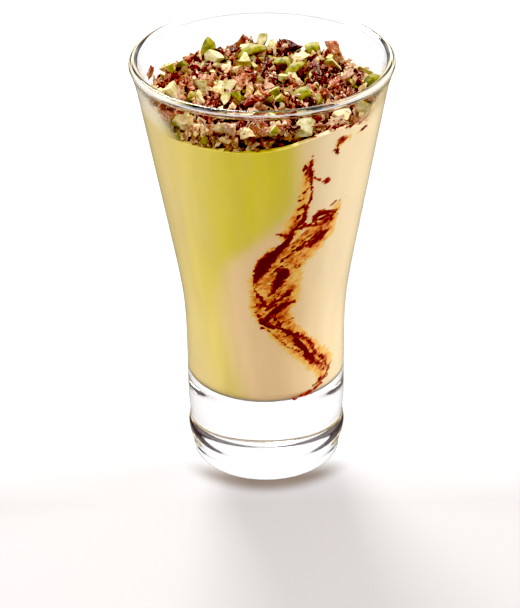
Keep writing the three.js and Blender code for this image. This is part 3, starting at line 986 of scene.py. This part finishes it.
def on_wall(name, strands, painted, lift, thickness, widening, ragged, grain):
    """Strands as a thin closed layer that stands this far out of the wall's inner side."""
    dense = np.concatenate([spline(strand, STRAND_STEPS) for strand in strands])
    line = mesh_object(name, [(x, 0, z) for x, z, _ in dense])
    store(line.data, "half_width", np.maximum(dense[:, 2], THINNEST_STRAND) * widening / 2 * MM)
    piece = run_nodes(
        line, STRANDS_ON_GRID, name, Cell=STRAND_CELL * MM, Ragged=ragged * MM, Grain=grain * MM,
        Material=painted,
    )
    x, _, z = mesh_points(piece.data).T
    bent = np.sqrt(np.maximum((inner_radius(z) + lift) ** 2 - x**2, 0))
    set_points(piece.data, np.stack([x, -bent, z], 1))
    solid = piece.modifiers.new("thickness", "SOLIDIFY")
    solid.thickness = thickness * MM
    solid.offset = -1
    return with_modifiers_applied(piece, name)


STRANDS_ON_GRID = strand_tree()
smear = on_wall(
    "caramel_smear", SMEARS, smear_material,
    lift=0.19, thickness=0.15, widening=1.08, ragged=5, grain=1.5,
)
ripple = on_wall(
    "chocolate_strands", DARK_STRANDS, chocolate_material,
    lift=0.22, thickness=0.4, widening=1.22, ragged=3.6, grain=0.9,
)
specks = on_wall(
    "chocolate_specks", SMEARS, chocolate_material,
    lift=0.21, thickness=0.3, widening=0.1, ragged=15, grain=1.5,
)


# Rings in the wall

def wall_ring(name, painted, low, high, out, steps=30):
    """A thin closed ring in the wall's glass, this far out of the wall's inner side."""
    face = [(inner_radius(z) + out, z) for z in np.linspace(low, high, steps)]
    back = [(radius + RING_THICKNESS, z) for radius, z in face[::-1]]
    return turned(name, [*face, *back, face[0]], painted, RING_STEPS)


def wall_film():
    """A film from the ice cream's edge up that is thick at both sides and leaves the front clear."""
    out = INTO_WALL - WIPED_SUNK
    piece = wall_ring("wiped_cream_film", wiped_material, FILL_TOP, WIPED_HIGH, out)
    x, y, old_z = mesh_points(piece.data).T
    share = (old_z - FILL_TOP) / (WIPED_HIGH - FILL_TOP)
    z = old_z + (1 - share) * (fill_rise(x, y) - WIPED_LAP)
    level = FILL_TOP + share * (WIPED_HIGH - FILL_TOP)
    radius = inner_radius(z) + np.hypot(x, y) - inner_radius(level)
    azimuth = np.arctan2(x, -y)
    set_points(piece.data, np.stack([radius * np.sin(azimuth), -radius * np.cos(azimuth), z], 1))
    turn = np.degrees(azimuth)
    wider = (1 - share) * WIPED_SPREAD
    sides = smooth_step(wider - turn, *WIPED_LEFT) + smooth_step(wider + turn, *WIPED_RIGHT)
    sides = sides * (1 - smooth_step(np.abs(turn), *WIPED_BACK))
    store(piece.data, "cover", sides * (1 - smooth_step(share, *WIPED_FADE)))
    store(piece.data, "thickness", 1 - smooth_step(share, 0, 0.6))
    store_flavours(piece)
    return piece


def lip_painted_highlight():
    """White painted highlight in the rim: a line at the front, and a band at both sides that fades
    away.
    """
    low, high = HEIGHT - RIM_HIGHLIGHT_LOW, HEIGHT - RIM_HIGHLIGHT_HIGH
    piece = wall_ring("rim_frost", rim_material, low, high, WALL_HIGH / 2, 14)
    x, y, z = mesh_points(piece.data).T
    share = (z - low) / (high - low)
    turn = np.degrees(np.abs(np.arctan2(x, -y)))
    sides = smooth_step(turn, 15, 55) * (1 - smooth_step(turn, 80, 110))
    line = np.exp(-(((share - 0.4) / 0.16) ** 2)) * (1 - smooth_step(turn, 60, 90))
    store(piece.data, "highlight_share", np.maximum(0.95 * line, 0.6 * sides * smooth_step(share, 0.2, 0.6)))
    return piece


film = wall_film()
rim_ring = lip_painted_highlight()


# Topping

def random_way(draw):
    return Vector([draw.gauss(0, 1) for _ in range(3)]).normalized()


def unit_object(shape, name):
    """An object from a shape, middled and with a longest side of 1 mm."""
    bmesh.ops.triangulate(shape, faces=shape.faces)
    bmesh.ops.recalc_face_normals(shape, faces=shape.faces)
    low, high = [Vector([pick(v.co[i] for v in shape.verts) for i in range(3)]) for pick in (min, max)]
    middle = (low + high) / 2
    longest = max(high - low)
    for vert in shape.verts:
        vert.co = (vert.co - middle) / longest * MM
    for face in shape.faces:
        face.smooth = True
    mesh = bpy.data.meshes.new(name)
    shape.to_mesh(mesh)
    shape.free()
    mesh.set_sharp_from_angle(angle=math.radians(32))
    return bpy.data.objects.new(name, mesh)


def kernel_chip(name, draw, fine):
    """A chip of a kernel: skin on its round side, and flesh where the knife went."""
    kernel = Vector((1, 0.62, 0.56))
    shape = bmesh.new()
    bmesh.ops.create_icosphere(shape, subdivisions=3 if fine else 2, radius=1)
    for vert in shape.verts:
        point = 1 - KERNEL_POINT * vert.co.x ** 2
        vert.co = Vector((vert.co.x, vert.co.y * kernel.y * point, vert.co.z * kernel.z * point))
    flesh = shape.faces.layers.float.new("flesh")
    turn, lean = [draw.uniform(0, math.tau) for _ in range(2)]
    first, second = [Vector((draw.uniform(-0.2, 0.2), math.cos(angle), math.sin(angle)))
                     for angle in (turn, turn + draw.choice((-1, 1)) * draw.uniform(1.2, 1.8))]
    slant = Vector((0, math.cos(lean), math.sin(lean)))
    across = [Vector((way, 0, 0)) + slant * draw.uniform(0.2, 1) for way in (-1, 1)]
    cuts = (
        (first, draw.uniform(-0.05, 0.25)),
        (across[0], draw.uniform(-0.1, 0.4)),
        (across[1], draw.uniform(0.1, 0.6)),
        (second, draw.uniform(0, 0.4)),
    )
    number = int(name.split("_")[-1])
    for way, share in cuts[:3 + number % 2 if number else 1]:
        way = way.normalized()
        support = Vector([w * k for w, k in zip(way, kernel)]).length
        cut = bmesh.ops.bisect_plane(
            shape, geom=[*shape.verts, *shape.edges, *shape.faces], clear_outer=True,
            plane_co=way * support * share, plane_no=way,
        )
        rim = [part for part in cut["geom_cut"] if isinstance(part, bmesh.types.BMEdge)]
        for face in bmesh.ops.edgenet_fill(shape, edges=rim)["faces"]:
            face[flesh] = 1
    if fine:
        sharp = [edge for edge in shape.edges if edge.calc_face_angle(0) > math.radians(35)]
        bmesh.ops.bevel(shape, geom=sharp, offset=0.02, segments=1, affect="EDGES")
    return unit_object(shape, name)


def lump(name, draw, fine, corners, proportions, roughness):
    """An angular bit: the hull of a few random corners, roughened."""
    shape = bmesh.new()
    for _ in range(corners):
        reach = draw.uniform(0.6, 1)
        shape.verts.new([w * p * reach for w, p in zip(random_way(draw), proportions)])
    hull = bmesh.ops.convex_hull(shape, input=shape.verts)
    spare = {part for part in hull["geom_interior"] + hull["geom_unused"]
             if isinstance(part, bmesh.types.BMVert)}
    bmesh.ops.delete(shape, geom=list(spare), context="VERTS")
    bmesh.ops.subdivide_edges(
        shape, edges=shape.edges, cuts=4 if fine else 1, use_grid_fill=True
    )
    shape.normal_update()
    shift = random_way(draw) * 9
    for vert in shape.verts:
        wave = noise.noise(vert.co * 2.4 + shift) + 0.6 * noise.noise(vert.co * 6 + shift)
        vert.co += vert.normal * roughness * wave
    return unit_object(shape, name)


def praline_bit(name, draw, fine):
    return lump(name, draw, fine, draw.choice((6, 7, 9)), (1, 0.78, 0.6), 0.12)


def almond_bit(name, draw, fine):
    return lump(name, draw, fine, 11, (1, 0.7, 0.46), 0.12)


def crumb_bit(name, draw, fine):
    shape = bmesh.new()
    for _ in range(7):
        shape.verts.new([w * p for w, p in zip(random_way(draw), (1, 0.8, 0.6))])
    bmesh.ops.convex_hull(shape, input=shape.verts)
    return unit_object(shape, name)


def shapes_of(name, maker, fine):
    """Different pieces of one kind, kept out of the scene."""
    draw = random.Random(PILE_SEED)
    return [maker(f"{name}_{number}", draw, fine) for number in range(SHAPES_OF_A_KIND)]


def as_collection(name, shapes):
    group = bpy.data.collections.new(name)
    for shape in shapes:
        group.objects.link(shape)
    return group


def remove_collection(group):
    for shape in list(group.objects):
        bpy.data.objects.remove(shape)
    bpy.data.collections.remove(group)


def heap_height(x, y):
    return HEAP_HEIGHT + HEAP_MOUND * (1 - (x**2 + y**2) / inner_radius(FILL_TOP) ** 2)


def bed_surface(x, y):
    """Height of the bed under the loose pieces, down to the ice cream at its edge."""
    wall_distance = inner_radius(FILL_TOP) - np.hypot(x, y)
    inset = BED_INSET + BARE_RIM_INSET * swelling(x, y, BARE_RIM_AZIMUTH, BARE_RIM_SPREAD)
    share = smooth_step(wall_distance, inset, inset + BED_SLOPE)
    cream = FILL_TOP + fill_rise(x, y)
    return cream + (BED_HEIGHT - FILL_TOP) * share


def fitted(points, place, size, turn, high):
    """A piece's place, moved until all of it is inside the wall and under a height."""
    reach = points @ np.array(Euler(turn).to_matrix()).T * size
    x, y, z = place
    z = min(z, high - reach[:, 2].max())
    for _ in range(6):
        radius = np.hypot(x + reach[:, 0], y + reach[:, 1])
        room = inner_radius(z + reach[:, 2]) - WALL_CLEARANCE - radius
        worst = room.argmin()
        if room[worst] < 0:
            x += (x + reach[worst, 0]) / radius[worst] * room[worst]
            y += (y + reach[worst, 1]) / radius[worst] * room[worst]
    return x, y, z


class Pile:
    """Pieces dropped one by one on a grid of heights. The rows tell where those of a kind lie."""

    def __init__(self, shapes):
        axis = np.arange(-PILE_REACH, PILE_REACH + PILE_CELL, PILE_CELL)
        self.shapes = shapes
        self.draw = random.Random(PILE_SEED)
        self.x, self.y = np.meshgrid(axis, axis, indexing="ij")
        self.heights = bed_surface(self.x, self.y)
        self.rows = {kind: [] for kind in KIND_SHARES}

    def height_at(self, x, y):
        return self.heights[round((x + PILE_REACH) / PILE_CELL), round((y + PILE_REACH) / PILE_CELL)]

    def any_turn(self):
        return [self.draw.uniform(0, math.tau) for _ in range(3)]

    def any_shape(self):
        return self.draw.randrange(1, SHAPES_OF_A_KIND)

    def put(self, kind, place, size, turn, pick, high):
        """Lays a piece at a place, moved as far as the wall and the top need."""
        points = mesh_points(self.shapes[kind, size > FINE_SIZE][pick].data)
        place = fitted(points, place, size, turn, high)
        self.rows[kind].append((*place, size, *turn, pick))
        return place

    def drop(self, kind, x, y, size, turn, pick, high):
        """Lays a piece on what lies under it, and raises the heights there."""
        away = np.hypot(self.x - x, self.y - y) / (size * COVER_SHARE)
        tall = size * TALL_SHARE
        ground = np.percentile(self.heights[away < 1], REST_PERCENTILE)
        x, y, z = self.put(
            kind, (x, y, ground + tall * (0.5 - SUNK_SHARE)), size, turn, pick, high
        )
        away = np.hypot(self.x - x, self.y - y) / (size * COVER_SHARE)
        near = away < 1
        top = z + tall / 2 * np.sqrt(1 - away[near] ** 2)
        self.heights[near] = np.maximum(self.heights[near], top)

    def lowest_spot(self, size):
        """The spot with most room of a few random ones that the heap covers."""
        spots = []
        for _ in range(SPOTS_TRIED):
            edge = inner_radius(HEAP_HEIGHT) - size * COVER_SHARE
            radius = edge * math.sqrt(self.draw.random())
            angle = self.draw.uniform(0, math.tau)
            x, y = radius * math.sin(angle), radius * math.cos(angle)
            bare = BARE_RIM_INSET * float(swelling(x, y, BARE_RIM_AZIMUTH, BARE_RIM_SPREAD))
            height = self.height_at(x, y)
            if radius < edge - bare or height > BARE_RIM_TOP:
                spots.append((heap_height(x, y) - height, x, y))
        return max(spots)[1:]

    def put_wall_pieces(self):
        for kind, pieces in WALL_PIECES.items():
            for azimuth, z, size in pieces:
                angle = math.radians(azimuth)
                radius = inner_radius(z)
                place = (radius * math.sin(angle), -radius * math.cos(angle), z)
                self.put(kind, place, size, self.any_turn(), self.any_shape(), HEAP_TOP)

    def drop_small_pieces(self):
        for _ in range(PILE_PIECES):
            size = self.draw.triangular(*PIECE_SIZES)
            spot = self.lowest_spot(size)
            kind = self.draw.choices(list(KIND_SHARES), KIND_SHARES.values())[0]
            self.drop(kind, *spot, size, self.any_turn(), self.any_shape(), HEAP_SOFT_TOP)

    def drop_large_pieces(self):
        for kind, pieces in LARGE_PIECES.items():
            for x, y, size, heading, tilt in pieces:
                turn = (self.draw.uniform(-0.4, 0.4), -math.radians(tilt), math.radians(heading))
                whole = kind == "pistachio" and size > 8
                self.drop(kind, x, y, size, turn, 0 if whole else self.any_shape(), HEAP_TOP)


def random_value(tree, given, kind, limits):
    """A random value for each element. Vectors, numbers and whole numbers have their own limits."""
    inputs = {**limits, "Seed": given["Seed"]}
    return node(tree, "FunctionNodeRandomValue", inputs, data_type=kind)


def placed_shapes(tree, given, points, pick, turn, size):
    """Ends a tree with one of its shapes at each point, each with its own tone from 0 to 1."""
    shapes = node(tree, "GeometryNodeCollectionInfo", {
        "Collection": given["Pieces"], "Separate Children": True, "Reset Children": True,
    })
    placed = node(tree, "GeometryNodeInstanceOnPoints", {
        "Points": points, "Instance": shapes, "Pick Instance": True, "Instance Index": pick,
        "Rotation": turn, "Scale": size,
    })
    tone = random_value(tree, given, "FLOAT", {2: 0, 3: 1})
    toned = node(tree, "GeometryNodeStoreNamedAttribute", {
        "Geometry": placed, "Name": "tone", "Value": tone.outputs[1],
    }, data_type="FLOAT", domain="INSTANCE")
    return finish_tree(tree, toned, given["Material"])


def pieces_tree():
    """Puts one of a collection's shapes at each point, with the point's turn and size."""
    tree, given = geometry_tree(
        "pieces_on_points", Pieces="Collection", Seed="Int", Material="Material"
    )
    pick, turn, size = [
        node(tree, "GeometryNodeInputNamedAttribute", {"Name": name}, data_type=kind)
        for name, kind in (("pick", "INT"), ("turn", "FLOAT_VECTOR"), ("size", "FLOAT"))
    ]
    return placed_shapes(tree, given, given["Geometry"], pick, turn, size)


def crumb_tree():
    """Strews small shapes over the faces that look up."""
    tree, given = geometry_tree(
        "crumbs_on_faces", Pieces="Collection", Density="Float", Smallest="Float",
        Largest="Float", Seed="Int", Material="Material"
    )
    way = node(tree, "ShaderNodeSeparateXYZ", {0: node(tree, "GeometryNodeInputNormal")}).outputs
    upward = node(
        tree, "FunctionNodeCompare", {"A": way["Z"], "B": 0.1}, operation="GREATER_THAN",
        data_type="FLOAT",
    )
    strewn = node(tree, "GeometryNodeDistributePointsOnFaces", {
        "Mesh": given["Geometry"], "Selection": upward, "Density": given["Density"],
        "Seed": given["Seed"],
    })
    pick = random_value(tree, given, "INT", {4: 0, 5: SHAPES_OF_A_KIND - 1}).outputs[2]
    turn = random_value(tree, given, "FLOAT_VECTOR", {1: [math.tau] * 3})
    size = random_value(tree, given, "FLOAT", {2: given["Smallest"], 3: given["Largest"]}).outputs[1]
    return placed_shapes(tree, given, strewn, pick, turn, size)


def keep_in_glass(piece):
    """Presses points that are past the wall, the ice cream or the heap's top back inside."""
    x, y, z = mesh_points(piece.data).T
    over = np.maximum(z - HEAP_SOFT_TOP, 0)
    room = HEAP_TOP - HEAP_SOFT_TOP
    z = np.where(over > 0, HEAP_SOFT_TOP + room * np.tanh(over / room), z)
    z = np.maximum(z, FILL_TOP + fill_rise(x, y) + 0.05)
    share = np.minimum(1, (inner_radius(z) - WALL_CLEARANCE) / np.maximum(np.hypot(x, y), 1e-6))
    set_points(piece.data, np.stack([x * share, y * share, z], 1))
    return piece


def heap_kind(kind, rows, shapes):
    """All pieces of one kind: the larger ones from finely made shapes."""
    parts = []
    for fine in (True, False):
        chosen = [row for row in rows if (row[3] > FINE_SIZE) == fine]
        points = mesh_object(kind, [row[:3] for row in chosen])
        store(points.data, "size", [row[3] for row in chosen])
        store(points.data, "turn", [row[4:7] for row in chosen], "FLOAT_VECTOR")
        store(points.data, "pick", [row[7] for row in chosen], "INT")
        group = as_collection(kind, shapes[kind, fine])
        parts.append(run_nodes(
            points, PIECES_ON_POINTS, kind, Pieces=group, Seed=PILE_SEED,
            Material=KIND_MATERIALS[kind],
        ))
        remove_collection(group)
    return keep_in_glass(joined(parts, kind))


def joined(parts, name):
    """One object from several."""
    with bpy.context.temp_override(active_object=parts[0], selected_editable_objects=parts):
        bpy.ops.object.join()
    parts[0].name = parts[0].data.name = name
    return parts[0]


def nut_bed():
    """The bed under the loose pieces, as a closed turned solid of crumbs."""
    radii = np.linspace(inner_radius(FILL_TOP) - BED_INSET, 0, 40)
    outline = [(0, FILL_TOP + BED_UNDER)]
    outline += [(radius, FILL_TOP + BED_UNDER) for radius in radii[::-1][1:]]
    outline += [(radius, FILL_TOP + BED_OVER) for radius in radii]
    piece = turned("nut_bed", outline, crumb_material, 96)
    points = mesh_points(piece.data)
    x, y, z = points.T
    upper = z > FILL_TOP + (BED_UNDER + BED_OVER) / 2
    uneven = np.array([noise.noise(Vector((a, b, 0)) * 0.5) for a, b in zip(x, y)])
    points[:, 2] = np.where(upper, bed_surface(x, y) + BED_OVER + BED_UNEVEN * uneven, z)
    set_points(piece.data, points)
    return piece


def crumbs(ground):
    """Crumbs on the upper sides of some pieces."""
    copies = [new_object("strewn", piece.data.copy()) for piece in ground]
    group = as_collection("crumb", shapes_of("crumb", crumb_bit, False))
    piece = run_nodes(
        joined(copies, "strewn"), CRUMBS_ON_FACES, "nut_crumbs", Pieces=group,
        Density=CRUMB_DENSITY / MM**2, Smallest=CRUMB_SIZES[0], Largest=CRUMB_SIZES[1],
        Seed=PILE_SEED, Material=crumb_material,
    )
    remove_collection(group)
    return keep_in_glass(piece)


PIECES_ON_POINTS = pieces_tree()
CRUMBS_ON_FACES = crumb_tree()
KIND_MAKERS = {"pistachio": kernel_chip, "praline": praline_bit, "almond": almond_bit}

shapes = {
    (kind, fine): shapes_of(kind, maker, fine)
    for kind, maker in KIND_MAKERS.items() for fine in (True, False)
}
pile = Pile(shapes)
pile.put_wall_pieces()
pile.drop_small_pieces()
pile.drop_large_pieces()
bed = nut_bed()
heap = [heap_kind(kind, pile.rows[kind], shapes) for kind in KIND_MAKERS]
crumb_layer = crumbs((bed, *heap[1:]))


# Floor, light and camera

def floor_paint():
    """Matt pale paint: greyer in front as painted shade, with a painted contact shadow, and painted
    dark where glass mirrors it, as a painted reflection.
    """
    def surface(tree, place):
        ahead = node(tree, "ShaderNodeSeparateXYZ", {0: place}).outputs["Y"]
        path = node(tree, "ShaderNodeLightPath").outputs
        undiffused = calc(tree, "SUBTRACT", 1, path["Is Diffuse Ray"])
        mirrored = calc(tree, "MULTIPLY", path["Glossy Depth"], undiffused, use_clamp=True)
        soft = {"interpolation_type": "SMOOTHSTEP"}
        front = between(tree, ahead, *FLOOR_SHADE_FRONT, **soft)
        near = between(tree, axis_distance(tree, place), *FLOOR_SHADE_RADII, **soft)
        plain = mix(tree, between(tree, ahead, *FLOOR_FADE), FLOOR_FRONT, FLOOR_BEHIND)
        seen = mix(tree, calc(tree, "MULTIPLY", front, near), plain, FLOOR_SHADE)
        return {"Base Color": mix(tree, mirrored, seen, FLOOR_MIRRORED)}
    return material("studio_floor_paint", surface, Roughness=0.6)


def studio_floor():
    reach = FLOOR_REACH
    corners = [(-reach, -reach), (reach, -reach), (reach, reach), (-reach, reach)]
    floor = mesh_object("studio_floor", [(x, y, -FLOOR_UNDER) for x, y in corners], faces=[range(4)])
    floor.data.materials.append(floor_paint())


def daylight():
    """A white world, brighter behind. Rays through or off the glass see dark cards elsewhere."""
    world = bpy.data.worlds.new("soft_studio")
    bpy.context.scene.world = world
    world.use_nodes = True
    tree = world.node_tree
    tree.nodes.clear()
    way = node(tree, "ShaderNodeTexCoord").outputs["Generated"]
    ahead = node(tree, "ShaderNodeSeparateXYZ", {0: way}).outputs["Y"]
    plain, in_glass = [spread(tree, ahead, *limits) for limits in (DAYLIGHT, DAYLIGHT_IN_GLASS)]
    path = node(tree, "ShaderNodeLightPath").outputs
    by_glass = calc(tree, "ADD", path["Is Transmission Ray"], path["Is Glossy Ray"], use_clamp=True)
    strength = node(tree, "ShaderNodeMix", {0: by_glass, 2: plain, 3: in_glass}, data_type="FLOAT")
    sky = node(tree, "ShaderNodeBackground", {"Color": WHITE, "Strength": strength})
    node(tree, "ShaderNodeOutputWorld", {"Surface": sky})


def lamps():
    for name, (place, width, power) in LAMPS.items():
        lamp = bpy.data.lights.new(name, "AREA")
        lamp.size = width * MM
        lamp.energy = power
        light = bpy.data.objects.new(name, lamp)
        light.location = [c * MM for c in place]
        aim = Vector((0, 0, LAMP_AIM_Z * MM)) - light.location
        light.rotation_euler = aim.to_track_quat("-Z", "Y").to_euler()
        light.visible_transmission = name != "front_softbox"
        bpy.context.scene.collection.objects.link(light)


def camera():
    lens = bpy.data.cameras.new("photo_camera")
    lens.sensor_width = SENSOR
    lens.lens = FOCAL_PIXELS / max(PHOTO_SIZE) * SENSOR
    lens.clip_end = 100
    made = new_object("photo_camera", lens)
    pitch = math.radians(CAMERA_PITCH)
    made.location = (
        CAMERA_SIDE * MM,
        -CAMERA_DISTANCE * math.cos(pitch) * MM,
        (CAMERA_TARGET_Z + CAMERA_DISTANCE * math.sin(pitch)) * MM,
    )
    level = Matrix.Rotation(math.pi / 2 - pitch, 4, "X")
    made.rotation_euler = (level @ Matrix.Rotation(math.radians(-CAMERA_ROLL), 4, "Z")).to_euler()
    bpy.context.scene.camera = made


studio_floor()
daylight()
lamps()
camera()

# Tones as the photo has them, and light through several walls of glass
scene = bpy.context.scene
scene.view_settings.view_transform = "Standard"
scene.view_settings.use_curve_mapping = True
scene.view_settings.curve_mapping.black_level = [BLACK_LEVEL] * 3
scene.view_settings.exposure = EXPOSURE
scene.cycles.caustics_refractive = True
scene.cycles.max_bounces = 16
scene.cycles.transmission_bounces = 12
scene.cycles.glossy_bounces = 8

for piece, replaced, slot in (
    (glass, "glass", "clear_glass"),
    (pistachio_fill, "pistachio_ice_cream", "pistachio_ice_cream"),
    (custard_fill, "custard_ice_cream", "custard_ice_cream"),
    (film, "glass", "custard_ice_cream"),
    (rim_ring, "glass", "clear_glass"),
    (smear, "chocolate_ripple", "chocolate_sauce"),
    (ripple, "chocolate_ripple", "chocolate_sauce"),
    (specks, "chocolate_ripple", "chocolate_sauce"),
    *((part, "nut_topping", "nuts_and_praline") for part in (bed, *heap, crumb_layer)),
):
    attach(piece, "root")
    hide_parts(replaced)
